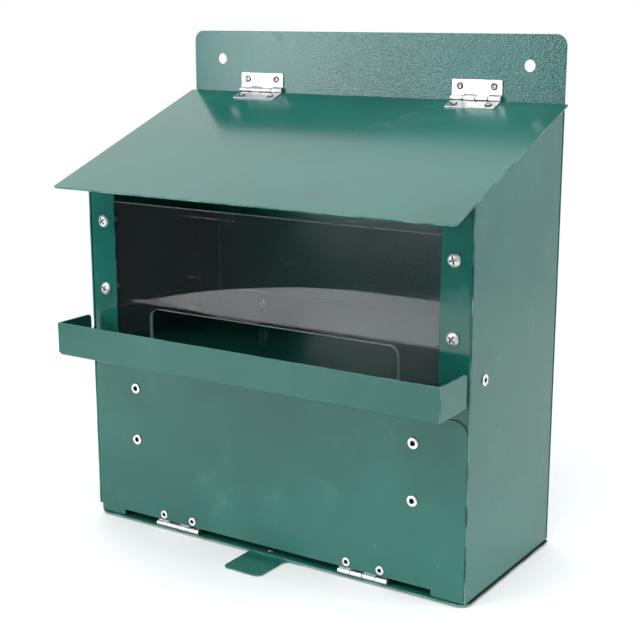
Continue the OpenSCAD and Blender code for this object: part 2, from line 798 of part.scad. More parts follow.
back_plate();
left_side_panel();
right_side_panel();
left_window_post();
right_window_post();
front_panel();
feeding_tray();
window_pane();
window_screws();
window_washers();
window_nuts();
left_tray_bracket();
right_tray_bracket();
bracket_rivets();
tray_side_rivets();
tray_rear_rivets();
lid_panel();
left_lid_hinge_fixed_leaf();
right_lid_hinge_fixed_leaf();
left_lid_hinge_moving_leaf();
right_lid_hinge_moving_leaf();
left_lid_hinge_pin();
right_lid_hinge_pin();
lid_hinge_rear_rivets();
lid_hinge_lid_rivets();
bottom_door();
pull_tab();
pull_tab_rivet();
left_door_hinge_fixed_leaf();
right_door_hinge_fixed_leaf();
left_door_hinge_moving_leaf();
right_door_hinge_moving_leaf();
left_door_hinge_pin();
right_door_hinge_pin();
door_hinge_front_rivets();
door_hinge_door_rivets();
catch_bracket();
catch_magnet();
catch_magnet_rivet();
catch_bracket_rivets();
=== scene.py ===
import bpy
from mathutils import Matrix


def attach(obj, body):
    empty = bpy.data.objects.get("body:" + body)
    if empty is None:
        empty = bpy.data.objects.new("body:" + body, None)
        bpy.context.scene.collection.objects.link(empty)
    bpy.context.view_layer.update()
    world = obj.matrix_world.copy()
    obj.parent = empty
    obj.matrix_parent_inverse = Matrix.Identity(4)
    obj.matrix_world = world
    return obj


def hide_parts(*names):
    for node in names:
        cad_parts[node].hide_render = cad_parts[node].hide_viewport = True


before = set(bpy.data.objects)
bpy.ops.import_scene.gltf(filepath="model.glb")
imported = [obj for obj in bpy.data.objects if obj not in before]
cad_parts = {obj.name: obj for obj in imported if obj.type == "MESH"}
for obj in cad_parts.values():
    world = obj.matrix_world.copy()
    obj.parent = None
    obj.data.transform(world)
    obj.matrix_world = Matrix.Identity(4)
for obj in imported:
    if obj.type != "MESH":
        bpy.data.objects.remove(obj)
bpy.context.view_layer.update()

import math

import bmesh
import bpy
import numpy as np
from mathutils import Vector
from mathutils.geometry import tessellate_polygon

MM = 0.001
SHEET = 1.2        # thickness of the coated sheet
PANE = 3.0         # thickness of the acrylic
BEND = 2.2         # outer radius of its folds
COAT_EDGE = 0.32   # how far the coat rounds each cut edge
SLOPE = math.radians(20.5)    # of the lid
COS, SIN, TAN = math.cos(SLOPE), math.sin(SLOPE), math.tan(SLOPE)

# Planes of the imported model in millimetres, as the part's source has them
SIDE_X, FRONT_Y, REAR_Y, BASE_Z = 160.0, -47.4, 86.6, 2.7
PLATE_Y, POST_Y, PANE_Y = REAR_Y - SHEET, FRONT_Y + SHEET, FRONT_Y + 2 * SHEET
SIDE_IN_X, LEG_IN_X, POST_IN_X = SIDE_X - SHEET, SIDE_X - 2 * SHEET, 136.0
TRAY_Z, SIDE_TOP_Z, PLATE_TOP_Z = 136.7, 271.0, 368.779
FLOOR_Z = TRAY_Z + SHEET
SCREW_X, SCREW_ZS = 145.7, (181.3, 232.4)
BRACKET_X, BRACKET_ZS = 119.0, (67.3, 107.6)
HANGING_X, HANGING_Z, HANGING_HOLE = 133, 347.079, 8.5
CATCH_RIVET = (8, 24.1)
RELIEF_Z = 8.1     # top of the notch at the lower left front corner
DOOR_LEFT, DOOR_RIGHT, DOOR_PROUD = -159.5, 161.5, 1.4
SIDE_RIVET = (-28.1, 152.4)
REAR_RIVET = (94.6, 151.3)
BARREL_RISE, LEAF_REACH, LEAF, HINGE_L, HOLE_SPAN = 2.2, 13.0, 1.0, 39.6, 27.0
TAB_RIVET_Y, MAGNET_Y = FRONT_Y + 6.5, 73.2
MAGNET_FACE = 3.5    # height of the seat in the magnet for its rivet's head
LID_HINGE_X, LID_HOLE, LID_AXIS = 93.5, 8.3, (83.2, 323.779)
DOOR_HINGE_X, DOOR_HOLE, DOOR_AXIS = 81.2, 7.2, (-47.4, 4.6)
SIDES = ((-1, "left_"), (1, "right_"))
# Head and shank of each kind of rivet, and the holes drilled for them and for the screws
LARGE_RIVET, SMALL_RIVET, LID_RIVET = (8, 4), (6.4, 3.2), (5.4, 2.8)
LARGE_HOLE, SMALL_HOLE, LID_RIVET_HOLE, SCREW_HOLE = 4.1, 3.3, 2.9, 5.1
LID_HOLES_X = [side * LID_HINGE_X + s * HOLE_SPAN / 2 for side in (-1, 1) for s in (-1, 1)]
DOOR_HOLES_X = [side * DOOR_HINGE_X + s * HOLE_SPAN / 2 for side in (-1, 1) for s in (-1, 1)]


# Shapes: outlines, sheets with rounded edges, folds and turned profiles

def rounded(corners, radii, steps=8):
    """Closed outline of straight edges whose corners are arcs, as an (n, 2) array.

    A corner's arc has its centre on the bisector, radius / sin(half the angle) away. Its
    points go from one tangent point to the other by equal angles (a spherical blend of the
    two radii there). It works for corners that turn either way.
    """
    corners = np.asarray(corners, float)
    radii = np.broadcast_to(radii, len(corners))[:, None]
    before, after = np.roll(corners, 1, 0) - corners, np.roll(corners, -1, 0) - corners
    before /= np.linalg.norm(before, axis=1, keepdims=True)
    after /= np.linalg.norm(after, axis=1, keepdims=True)
    bisector = before + after
    bisector /= np.linalg.norm(bisector, axis=1, keepdims=True)
    cos_half = (before * bisector).sum(1, keepdims=True)
    sin_half = np.sqrt(1 - cos_half ** 2)
    to_centre = bisector * radii / sin_half
    reach = radii * cos_half / sin_half
    start, end = before * reach - to_centre, after * reach - to_centre
    angle = 2 * np.arctan2(cos_half, sin_half)[:, :, None]
    t = np.linspace(0, 1, steps + 1)[None, :, None]
    arc = (np.sin((1 - t) * angle) * start[:, None] + np.sin(t * angle) * end[:, None])
    return (corners[:, None] + to_centre[:, None] + arc / np.sin(angle)).reshape(-1, 2)


def full_turn(steps):
    return np.linspace(0, 2 * np.pi, steps, endpoint=False)


def holes_at(xs, ys, diameter, steps=32):
    """Outlines of round holes at each x and y. They run the other way round than a sheet's."""
    a = -full_turn(steps)
    circle = diameter / 2 * np.column_stack([np.cos(a), np.sin(a)])
    return [circle + (x, y) for x in xs for y in ys]


def both(x):
    """A distance from the middle, to the left and to the right."""
    return -x, x


def rectangle(left, low, right, high, radii, steps=8):
    """A rounded rectangle's outline, anticlockwise from its lower left corner."""
    return rounded([(left, low), (right, low), (right, high), (left, high)], radii, steps)


def inset(loop, distance):
    """The loop moved to its left by a distance: each point goes along the mean of its two
    edges' normals, over the cosine of half the turn."""
    edge = np.roll(loop, -1, 0) - loop
    edge /= np.linalg.norm(edge, axis=1, keepdims=True)
    normal = np.column_stack([-edge[:, 1], edge[:, 0]])
    mean = normal + np.roll(normal, 1, 0)
    mean /= (mean * mean).sum(1, keepdims=True) / 2
    return loop + mean * distance


def sheet(loops, thickness=SHEET, edge=COAT_EDGE, arcs=3):
    """A flat sheet with rounded edges: points (u, v, w), faces and the rim value of each point.

    The first loop is the outline, anticlockwise, and the others are holes, clockwise. Round
    every loop goes the same rim: a quarter circle of the edge's radius over the top face, the
    straight side, and a quarter circle under the lower face. Both faces are filled.
    """
    turn = np.linspace(0, np.pi / 2, arcs + 1)
    rim = [(edge * (1 - np.sin(a)), thickness - edge * (1 - np.cos(a))) for a in turn]
    rim += [(d, thickness - w) for d, w in reversed(rim)]
    value = np.concatenate([np.linspace(0, 1, arcs + 1), np.linspace(1, 0, arcs + 1)])
    points, faces, rims, start, top, low = [], [], [], 0, [], []
    for loop in loops:
        n = len(loop)
        rings = np.stack([np.column_stack([inset(loop, d), np.full(n, w)]) for d, w in rim])
        points.append(rings.reshape(-1, 3))
        rims.append(np.repeat(value, n))
        quads = np.array(grid_faces(len(rim), n))[:, [0, 3, 2, 1]]
        faces += (quads + start).tolist()
        top.append(start + np.arange(n))
        low.append(start + (len(rim) - 1) * n + np.arange(n))
        start += len(rim) * n
    points = np.concatenate(points)
    fill = np.array(tessellate_polygon([[Vector((*points[k, :2], 0)) for k in t] for t in top]))
    top, low = np.concatenate(top), np.concatenate(low)
    a, b, c = (points[top[fill[:, k]], :2] for k in range(3))
    area = np.cross(b - a, c - a)
    fill[area < 0] = fill[area < 0][:, ::-1]
    faces += top[fill].tolist() + low[fill[:, ::-1]].tolist()
    return points, faces, np.concatenate(rims)


class Bend:
    """A bend in a strip that is flat up to start on the blank and then turns up."""

    def __init__(self, start, radius=BEND, angle=np.pi / 2, thickness=SHEET):
        self.start, self.radius, self.angle = start, radius, angle
        self.length = (radius - thickness / 2) * angle
        self.end = start + self.length

    def fold(self, s, w):
        """(along, up) of the place s along the blank and w from its outer face in.

        On the bend a point goes round the centre (start, radius), at radius - w from it; past
        the bend it goes straight on.
        """
        past, out = s - self.start, self.radius - w
        a = np.clip(past / self.length, 0, 1) * self.angle
        rest = np.where(past < 0, past, np.maximum(past - self.length, 0))
        return (self.start + out * np.sin(a) + rest * np.cos(a),
                self.radius - out * np.cos(a) + rest * np.sin(a))

    def cuts(self, axis, steps=8):
        """Where the blank is cut across so that it can follow the bend."""
        return [(axis, self.start + s) for s in np.linspace(0, self.length, steps + 1)]


def cut_across(points, faces, rims, cuts):
    """The same blank with its faces split along planes u = value or v = value."""
    mesh = bpy.data.meshes.new("blank")
    mesh.from_pydata(points.tolist(), [], faces)
    mesh.attributes.new("rim", "FLOAT", "POINT").data.foreach_set("value", rims)
    bm = bmesh.new()
    bm.from_mesh(mesh)
    for axis, value in cuts:
        normal = (1, 0, 0) if axis == "u" else (0, 1, 0)
        bmesh.ops.bisect_plane(bm, geom=bm.verts[:] + bm.edges[:] + bm.faces[:], dist=1e-5,
                               plane_co=[value * k for k in normal], plane_no=normal)
    bm.to_mesh(mesh)
    bm.free()
    cut = np.empty(len(mesh.vertices) * 3)
    mesh.vertices.foreach_get("co", cut)
    rims = np.empty(len(mesh.vertices))
    mesh.attributes["rim"].data.foreach_get("value", rims)
    faces = [list(p.vertices) for p in mesh.polygons]
    bpy.data.meshes.remove(mesh)
    return cut.reshape(-1, 3), faces, rims


def grid_faces(rows, steps):
    """Quads of a grid of points, row after row; each row closes on itself."""
    i, j = np.meshgrid(np.arange(rows - 1), np.arange(steps), indexing="ij")
    after = (j + 1) % steps
    return np.stack([i * steps + j, i * steps + after, (i + 1) * steps + after,
                     (i + 1) * steps + j], -1).reshape(-1, 4).tolist()


def capped_faces(rows, steps):
    """The grid's quads, and fans from its first and last row to the two points after it."""
    j = np.arange(steps)
    after, last, low = (j + 1) % steps, (rows - 1) * steps, rows * steps
    fans = [[after, j, np.full(steps, low)], [last + j, last + after, np.full(steps, low + 1)]]
    return grid_faces(rows, steps) + [f for fan in fans for f in np.column_stack(fan).tolist()]


def ring_faces(rows, steps):
    """The grid's quads, and those that join its last row to its first."""
    j, last = np.arange(steps), (rows - 1) * steps
    after = (j + 1) % steps
    return grid_faces(rows, steps) + np.column_stack([last + j, last + after, after, j]).tolist()


def polar(r, a, h):
    """Points at a radius, an angle and a height: (r cos a, r sin a, h)."""
    return np.stack(np.broadcast_arrays(r * np.cos(a), r * np.sin(a), h), -1)


def carried_round(section, steps):
    """A section of (radius, height) points at each angle of a full turn round +z."""
    return polar(section[:, :1], full_turn(steps), section[:, 1:]).reshape(-1, 3)


def revolved(section, steps):
    """A closed section carried round, which leaves a hole in the middle."""
    return carried_round(section, steps), ring_faces(len(section), steps)


def turned(profile, steps=32):
    """A profile of (radius, height) points, from the lowest on the axis to the highest on it
    by way of the outside, carried round +z and closed by fans at both ends."""
    profile = np.asarray(profile, float)
    rings = carried_round(profile[1:-1], steps)
    points = np.concatenate([rings, [[0, 0, profile[0, 1]], [0, 0, profile[-1, 1]]]])
    return points, capped_faces(len(profile) - 2, steps)


def softened(profile, radii, steps=3):
    """An open profile whose inner corners become arcs; the ends stay. radii is one number or
    one for each inner corner."""
    profile = np.asarray(profile, float)
    radii = np.broadcast_to(radii, len(profile) - 2)
    closed = rounded(profile, np.concatenate([[1e-6], radii, [1e-6]]), steps)
    rows = closed.reshape(len(profile), steps + 1, 2)
    return np.concatenate([profile[:1], rows[1:-1].reshape(-1, 2), profile[-1:]])


def smooth_step(x, low, high):
    """0 below low, 1 above high, and 3t^2 - 2t^3 between."""
    t = np.clip((x - low) / (high - low), 0, 1)
    return t * t * (3 - 2 * t)


# Where x, y and z of a shape go to
UNTURNED = ((1, 0, 0), (0, 1, 0), (0, 0, 1))
FACING_FRONT = ((1, 0, 0), (0, 0, 1), (0, -1, 0))
FACING_RIGHT = ((0, 1, 0), (0, 0, 1), (1, 0, 0))
FACING_LEFT = ((0, -1, 0), (0, 0, 1), (-1, 0, 0))
FACING_DOWN = ((1, 0, 0), (0, -1, 0), (0, 0, -1))


def moved(points, place, turn=UNTURNED):
    """Points turned, so that x, y and z go to the three given directions, and moved."""
    return points @ np.array(turn) + place


def joined(parts):
    """Several (points, faces) as one."""
    points, faces, start = [], [], 0
    for p, f in parts:
        points.append(p)
        faces += [[k + start for k in face] for face in f]
        start += len(p)
    return np.concatenate(points), faces


def outward(mesh):
    """Turns every face over if the closed shell is inside out, as a mirrored one is."""
    bm = bmesh.new()
    bm.from_mesh(mesh)
    if bm.calc_volume(signed=True) < 0:
        bmesh.ops.reverse_faces(bm, faces=bm.faces[:])
        bm.to_mesh(mesh)
    bm.free()


def linked(name, data):
    obj = bpy.data.objects.new(name, data)
    bpy.context.scene.collection.objects.link(obj)
    return obj


def piece(node, body, slot, material, points, faces, rims=None, second=None, sharp=None):
    """Makes what replaces a node from points in millimetres.

    second is (material, mask of faces). The normals are weighted by the faces' areas, so that
    flat faces stay flat up to their rounded rims.
    """
    mesh = bpy.data.meshes.new("finished_" + node)
    mesh.from_pydata((points * MM).tolist(), [], faces)
    mesh.polygons.foreach_set("use_smooth", np.ones(len(mesh.polygons), bool))
    rims = np.zeros(len(points)) if rims is None else rims
    mesh.attributes.new("rim", "FLOAT", "POINT").data.foreach_set("value", rims)
    mesh.materials.append(material)
    if second:
        mesh.materials.append(second[0])
        mesh.polygons.foreach_set("material_index", np.asarray(second[1], int))
    outward(mesh)
    if sharp:
        mesh.set_sharp_from_angle(angle=math.radians(sharp))
    obj = linked(mesh.name, mesh)
    obj.modifiers.new("flat_normals", "WEIGHTED_NORMAL").keep_sharp = True
    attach(obj, body)
    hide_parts(node)


# Camera, table and light

def aimed(data, place, target):
    """A lamp or the camera at a place, with its -Z axis turned to the target."""
    obj = linked(data.name, data)
    obj.location = place
    obj.rotation_mode = "QUATERNION"
    obj.rotation_quaternion = (Vector(target) - Vector(place)).to_track_quat("-Z", "Y")
    return obj


def photo_camera():
    """The photograph's camera: azimuth 32.937, elevation 13.206 degrees, 74 mm lens."""
    azimuth, elevation = math.radians(32.937), math.radians(13.206)
    back = Vector((math.sin(azimuth) * math.cos(elevation),
                   -math.cos(azimuth) * math.cos(elevation), math.sin(elevation)))
    data = bpy.data.cameras.new("photo_camera")
    data.lens, data.sensor_width = 74.05, 36
    data.clip_start, data.clip_end = 0.02, 40
    place = Vector((0.51554, -0.77207, 0.38401))
    bpy.context.scene.camera = aimed(data, place, place - back)


def soft_box(name, place, target, size, power):
    """A rectangular lamp of the given size in metres and power in watts."""
    data = bpy.data.lights.new(name, "AREA")
    data.shape, data.size, data.size_y = "RECTANGLE", size[0], size[1]
    data.energy = power
    aimed(data, place, target)


class Builder:
    """Adds nodes to a tree by their inputs: a plain value is set, a socket is linked."""

    def __init__(self, tree):
        self.tree = tree

    def fill(self, node, inputs):
        for key, value in inputs.items():
            if isinstance(value, bpy.types.NodeSocket):
                self.tree.links.new(value, node.inputs[key])
            else:
                node.inputs[key].default_value = value
        return node.outputs

    def __call__(self, kind, inputs=None, out=0, **settings):
        node = self.tree.nodes.new("ShaderNode" + kind)
        for key, value in settings.items():
            setattr(node, key, value)
        outputs = self.fill(node, inputs or {})
        return outputs[out] if len(outputs) else node

    def math(self, operation, a, b=0.0, c=0.0, clamp=False):
        return self("Math", {0: a, 1: b, 2: c}, operation=operation, use_clamp=clamp)

    def ramp(self, value, low, high, to_low=0.0, to_high=1.0):
        """value between low and high taken smoothly to between to_low and to_high."""
        return self("MapRange", {"Value": value, "From Min": low, "From Max": high,
                                 "To Min": to_low, "To Max": to_high},
                    interpolation_type="SMOOTHSTEP")

    def mix(self, factor, a, b):
        return self("Mix", {0: factor, 6: a, 7: b}, 2, data_type="RGBA")

    def noise(self, place, scale, detail, **more):
        return self("TexNoise", {"Vector": place, "Scale": scale, "Detail": detail, **more})

    def bump(self, height, distance):
        return self("Bump", {"Height": height, "Distance": distance, "Strength": 1.0})

    def use(self, tree, inputs):
        """An instance of a group; returns its outputs."""
        return self("Group", inputs, node_tree=tree).node.outputs


def studio_world():
    """White to the eye. As light it is a room whose front is dim low down and brighter
    overhead, and whose rear is a bright sweep from the table up."""
    world = bpy.data.worlds.new("studio")
    world.use_nodes = True
    tree = world.node_tree
    tree.nodes.clear()
    build = Builder(tree)
    place = build("TexCoord").node.outputs["Generated"]
    xyz = build("SeparateXYZ", {0: place}).node.outputs
    front_low, front_high, left, rear_low, rear_high = 0.11, 0.8, 0.35, 1.0, 0.75
    high = build.ramp(xyz["Z"], 0.0, 0.55, front_low, front_high)
    side = build.ramp(xyz["X"], -0.62, -0.2, left, 1.0)
    front = build.math("MULTIPLY", high, side)
    rear = build.ramp(xyz["Z"], 0.25, 0.9, rear_low, rear_high)
    to_rear = build.ramp(xyz["Y"], -0.05, 0.3)
    strength = build("Mix", {0: to_rear, 2: front, 3: rear})
    room = build("Background", {"Color": (0.95, 0.98, 1, 1), "Strength": strength})
    seen = build("Background", {"Color": (1, 1, 1, 1), "Strength": 1.0})
    eye = build("LightPath").node.outputs["Is Camera Ray"]
    mixed = build("MixShader", {0: eye, 1: room, 2: seen})
    build("OutputWorld", {"Surface": mixed})
    bpy.context.scene.world = world


def table_top():
    """A white table with rounded corners, on which the feeder stands."""
    half_width, front, rear = 635, -870, 900
    outline = rectangle(-half_width, front, half_width, rear, 235, 24) * MM
    mesh = bpy.data.meshes.new("table_top")
    points = np.column_stack([outline, np.zeros(len(outline))])
    mesh.from_pydata(points.tolist(), [], [list(range(len(points)))])
    material = bpy.data.materials.new("white_table")
    material.use_nodes = True
    tree = material.node_tree
    Builder(tree).fill(tree.nodes["Principled BSDF"], {
        "Base Color": (0.9, 0.9, 0.9, 1), "Emission Color": (1, 1, 1, 1),
        "Emission Strength": 0.15, "Roughness": 0.6})
    mesh.materials.append(material)
    table = linked("table_top", mesh)


bpy.context.scene.view_settings.view_transform = "Standard"
photo_camera()
studio_world()
table_top()
soft_box("rear_overhead_box", (-0.95, 0.75, 1.45), (-0.1, 0.0, 0.3), (1.2, 1.0), 2.8)
soft_box("front_overhead_box", (-0.15, -0.9, 1.6), (0, 0, 0.15), (1.5, 0.9), 13)
soft_box("right_box", (1.55, 0.2, 1.35), (0, 0, 0.3), (0.9, 1.1), 12)
soft_box("front_left_box", (-0.68, -1.11, 0.355), (0, 0.08, 0.34), (0.62, 0.37), 6.6)


# Materials: effects that several share are node groups, and the shaders stay outside them

def group(name, inputs, outputs):
    """A new shader node group with its sockets: a float each, or a colour for 4 numbers and
    a vector for None. Returns its builder, what its inputs give and its output node."""
    tree = bpy.data.node_groups.new(name, "ShaderNodeTree")
    kinds = {float: "NodeSocketFloat", tuple: "NodeSocketColor", type(None): "NodeSocketVector"}
    for key, value in inputs.items():
        socket = tree.interface.new_socket(key, in_out="INPUT", socket_type=kinds[type(value)])
        if value is not None:
            socket.default_value = value
    for key in outputs:
        kind = kinds[tuple if key == "Color" else float]
        tree.interface.new_socket(key, in_out="OUTPUT", socket_type=kind)
    given = tree.nodes.new("NodeGroupInput").outputs
    return Builder(tree), given, tree.nodes.new("NodeGroupOutput")


def coat_group():
    """Powder coat: uneven tint, dust, fine specks, and lighter rims on cut edges, partly worn
    coat and partly a painted edge highlight.
    """
    build, given, out = group(
        "powder_coat", {"Place": None, "Base": (0, 0, 0, 1), "Rim": 0.0, "Wear": 0.5},
        ["Color", "Roughness", "Rough Step"])
    place = given["Place"]
    cloud = build.noise(place, 9.0, 4.0, Roughness=0.55)
    speck = build.noise(place, 900.0, 2.0)
    dusty = build.noise(place, 34.0, 6.0, Roughness=0.62, Distortion=0.4)
    dark = build("HueSaturation", {"Color": given["Base"], "Value": 0.86})
    light = build("HueSaturation", {"Color": given["Base"], "Value": 1.12,
                                    "Saturation": 0.97})
    body = build.mix(build.ramp(cloud, 0.35, 0.65), dark, light)
    body = build.mix(build.math("MULTIPLY", build.ramp(speck, 0.62, 0.75), 0.08), body,
                     (0.16, 0.3, 0.26, 1))
    dust = build.math("MULTIPLY", build.ramp(dusty, 0.56, 0.82), 0.06)
    body = build.mix(dust, body, (0.5, 0.52, 0.5, 1))
    rub = build.ramp(build.noise(place, 60.0, 5.0), 0.38, 0.62)
    # Lighter cut edges: worn coat in patches, and a painted edge highlight
    rim = build.math("MULTIPLY", build.ramp(given["Rim"], 0.3, 0.95),
                     build.math("MULTIPLY", given["Wear"], rub))
    color = build.mix(rim, body, (0.2, 0.45, 0.38, 1))
    rough = build.ramp(cloud, 0.3, 0.7, -0.03, 0.04)
    rough = build.math("ADD", rough, build.math("MULTIPLY", dust, 2.2))
    build.fill(out, {"Color": color, "Roughness": rough, "Rough Step": rim})
    return build.tree


def peel_group():
    """Height of a sprayed coat: rounded cells of one size, with finer grain on them."""
    build, given, out = group(
        "orange_peel", {"Place": None, "Cells": 500.0, "Grain": 0.3}, ["Height"])
    place = given["Place"]
    cells = build("TexVoronoi", {"Vector": place, "Scale": given["Cells"],
                                 "Smoothness": 1.0}, feature="SMOOTH_F1")
    broad = build.noise(place, build.math("MULTIPLY", given["Cells"], 0.45), 1.0)
    fine = build.noise(place, build.math("MULTIPLY", given["Cells"], 3.4), 2.0)
    high = build.math("MULTIPLY_ADD", cells, -0.7, broad)
    high = build.math("MULTIPLY_ADD", fine, given["Grain"], high)
    build.fill(out, {"Height": high})
    return build.tree


def plated_group():
    """Plated metal: blotches, short scratches and a dull film in places."""
    build, given, out = group(
        "plated_metal", {"Place": None, "Base": (1, 1, 1, 1), "Film": (0.5, 0.5, 0.5, 1)},
        ["Color", "Roughness", "Height"])
    place = given["Place"]
    blotch = build.noise(place, 260.0, 5.0, Roughness=0.6)
    lines = []
    for turn, stretch in (((0.2, 0.1, 0.7), (40.0, 900.0, 40.0)),
                          ((0.5, -0.3, -0.4), (60.0, 60.0, 1300.0))):
        spot = build("Mapping", {"Vector": place, "Rotation": turn, "Scale": stretch})
        lines.append(build.ramp(build.noise(spot, 1.0, 3.0), 0.64, 0.72))
    scratch = build.math("MAXIMUM", *lines)
    film = build.math("MULTIPLY", build.ramp(blotch, 0.45, 0.7), 0.3)
    color = build.mix(film, given["Base"], given["Film"])
    color = build.mix(build.math("MULTIPLY", scratch, 0.2), color, (0.45, 0.45, 0.46, 1))
    rough = build.math("MULTIPLY_ADD", scratch, 0.12, build.ramp(blotch, 0.3, 0.75, -0.04, 0.12))
    high = build.math("MULTIPLY_ADD", scratch, -0.6, blotch)
    build.fill(out, {"Color": color, "Roughness": rough, "Height": high})
    return build.tree


def blank_material(name):
    """A material with only its output, and the place on the object in metres."""
    material = bpy.data.materials.new(name)
    material.use_nodes = True
    material.node_tree.nodes.clear()
    build = Builder(material.node_tree)
    place = build("TexCoord").node.outputs["Object"]
    return material, build, place


def principled(build, inputs):
    """The material's shader, linked to its output."""
    build("OutputMaterial", {"Surface": build("BsdfPrincipled", inputs)})


COAT_GROUP, PEEL_GROUP, PLATED_GROUP = coat_group(), peel_group(), plated_group()


def coat(name, base, roughness, cells, depth, grain, wear_and_highlight, shade_and_dirt_depths=None, swell=None,
         border=None):
    """Coated sheet. depth is the peel's height in metres; it grows from left to right between
    swell's two places. A painted shade, with dirt, darkens the coat from the first depth to the
    second one given for it, and with border only near the left and right edges, between two
    distances from the middle."""
    material, build, place = blank_material(name)
    # Painted shade, with dirt on the door: the coat is darkened behind the given depth
    if shade_and_dirt_depths:
        behind = build.ramp(build("SeparateXYZ", {0: place}, 1), *shade_and_dirt_depths)
        if border:
            aside = build.math("ABSOLUTE", build("SeparateXYZ", {0: place}))
            behind = build.math("MULTIPLY", behind, build.ramp(aside, *border))
        patches = build.noise(place, 70.0, 5.0)
        dark_shade_and_dirt = build.mix(patches, (0.004, 0.009, 0.009, 1), (0.012, 0.016, 0.015, 1))
        base = build.mix(behind, base, dark_shade_and_dirt)
    rim = build("Attribute", attribute_name="rim").node.outputs["Fac"]
    look = build.use(COAT_GROUP, {"Place": place, "Base": base, "Rim": rim, "Wear": wear_and_highlight})
    peel = build.use(PEEL_GROUP, {"Place": place, "Cells": cells, "Grain": grain})
    rough = build.math("ADD", look["Roughness"], roughness)
    rough = build.math("MULTIPLY_ADD", look["Rough Step"], 0.15, rough, clamp=True)
    height = peel["Height"]
    if swell:
        height = build.math("MULTIPLY", height,
                            build.ramp(build("SeparateXYZ", {0: place}), *swell, 0.12, 1.0))
    principled(build, {"Base Color": look["Color"], "Roughness": rough,
                       "Normal": build.bump(height, depth), "IOR": 1.5})
    return material


def plated(name, base, film, roughness, depth=0.00001):
    """Bright plated or bare metal."""
    material, build, place = blank_material(name)
    look = build.use(PLATED_GROUP, {"Place": place, "Base": base, "Film": film})
    rough = build.math("ADD", look["Roughness"], roughness)
    principled(build, {"Base Color": look["Color"], "Roughness": rough, "Metallic": 1.0,
                       "Normal": build.bump(look["Height"], depth)})
    return material


def acrylic(name, roughness, tint, clear=1.0):
    """Acrylic sheet with a few hairline scratches and faint smears."""
    material, build, place = blank_material(name)
    smear = build.noise(place, 14.0, 5.0, Roughness=0.6, Distortion=0.8)
    line = build("Mapping", {"Vector": place, "Rotation": (0.0, 0.5, 0.0),
                             "Scale": (6.0, 30.0, 520.0)})
    hair = build.ramp(build.noise(line, 1.0, 4.0, Distortion=0.3), 0.7, 0.74)
    rough = build.math("MULTIPLY_ADD", hair, 0.25, build.ramp(smear, 0.5, 0.8, 0.0, 0.05))
    rough = build.math("ADD", rough, roughness)
    color = build.mix(build.math("MULTIPLY", hair, 0.5), tint, (0.8, 0.82, 0.82, 1))
    high = build.math("MULTIPLY_ADD", hair, -1.0, build.math("MULTIPLY", smear, 0.4))
    principled(build, {"Base Color": color, "Roughness": rough, "IOR": 1.49, "Metallic": 0.0,
                       "Transmission Weight": clear, "Normal": build.bump(high, 0.00001)})
    return material


def dull(name, color, other, roughness):
    """Dark, matt and grainy: fired magnet, and the inside of rivets, where the dark is the
    broken stem and painted shade in the bore.
    """
    material, build, place = blank_material(name)
    grain = build.noise(place, 1400.0, 4.0)
    mixed = build.mix(build.ramp(grain, 0.35, 0.65), color, other)
    rough = build.ramp(grain, 0.3, 0.7, roughness - 0.08, roughness + 0.08)
    principled(build, {"Base Color": mixed, "Roughness": rough, "Metallic": 0.3,
                       "Normal": build.bump(grain, 0.00005)})
    return material


GREEN = (0.0105, 0.13, 0.102, 1)
SMOOTH = {"cells": 420.0, "depth": 0.000012, "grain": 0.08, "wear_and_highlight": 0.6}
COATS = {
    "green_paint": coat("green_coat", GREEN, 0.19, **SMOOTH),
    "textured_green_paint": coat("textured_green_coat", (0.0105, 0.155, 0.135, 1), 0.21, 1120.0,
                                 0.0002, 0.25, 0.4, swell=(-0.15, 0.04)),
}
GLOSSY_COAT = coat("glossy_green_coat", GREEN, 0.1, **SMOOTH)
# Painted shade: the right side's cut front edge is darkened, and the door's side borders are
# darkened by painted shade and dirt
EDGE_SHADE_COAT = coat("green_coat_edge_shade", GREEN, 0.19, **SMOOTH, shade_and_dirt_depths=(-0.0471, -0.04765))
# The door's side borders behind the front panel are darkened: painted shade and dirt
DOOR_SHADE_AND_DIRT_COAT = coat("green_coat_shade_and_dirt", GREEN, 0.3, **SMOOTH, shade_and_dirt_depths=(-0.0484, -0.0468),
                   border=(0.148, 0.157))
ZINC = plated("bright_zinc", (0.78, 0.78, 0.79, 1), (0.58, 0.59, 0.6, 1), 0.34, 0.000005)
# The pins' steel is made dark: painted shade for the barrels' shaded ends
SHADE_DARK_PIN_STEEL = plated("pin_steel_painted_shade", (0.2, 0.2, 0.205, 1), (0.1, 0.1, 0.105, 1), 0.4)
BRIGHT = plated("bright_rivet_shell", (0.94, 0.94, 0.95, 1), (0.75, 0.76, 0.77, 1), 0.3)
# A dark shell for the lid hinges' rivets: painted shade round their heads
SHADED_RIVET_SHELL = plated("rivet_shell_painted_shade", (0.16, 0.165, 0.17, 1), (0.1, 0.1, 0.11, 1), 0.4)
SCREW = plated("screw_plating", (0.78, 0.8, 0.79, 1), (0.6, 0.62, 0.61, 1), 0.48)
# The screws' cross recess is made darker: painted shade
RECESS_SHADE = plated("screw_recess_painted_shade", (0.3, 0.31, 0.31, 1), (0.2, 0.2, 0.2, 1), 0.5)
ACRYLIC = acrylic("clear_acrylic", 0.0, (0.76, 0.76, 0.78, 1), clear=0.991)
SAWN_ACRYLIC = acrylic("sawn_acrylic", 0.45, (0.9, 0.95, 0.97, 1), clear=0.6)
# The rivets' bores are near black: the broken stem, and painted shade in the hole
STEM_AND_BORE_SHADE = dull("rivet_bore_painted_shade", (0.02, 0.02, 0.022, 1), (0.045, 0.045, 0.05, 1), 0.5)
FERRITE = dull("ferrite", (0.05, 0.05, 0.052, 1), (0.09, 0.09, 0.095, 1), 0.6)


# Sheet metal

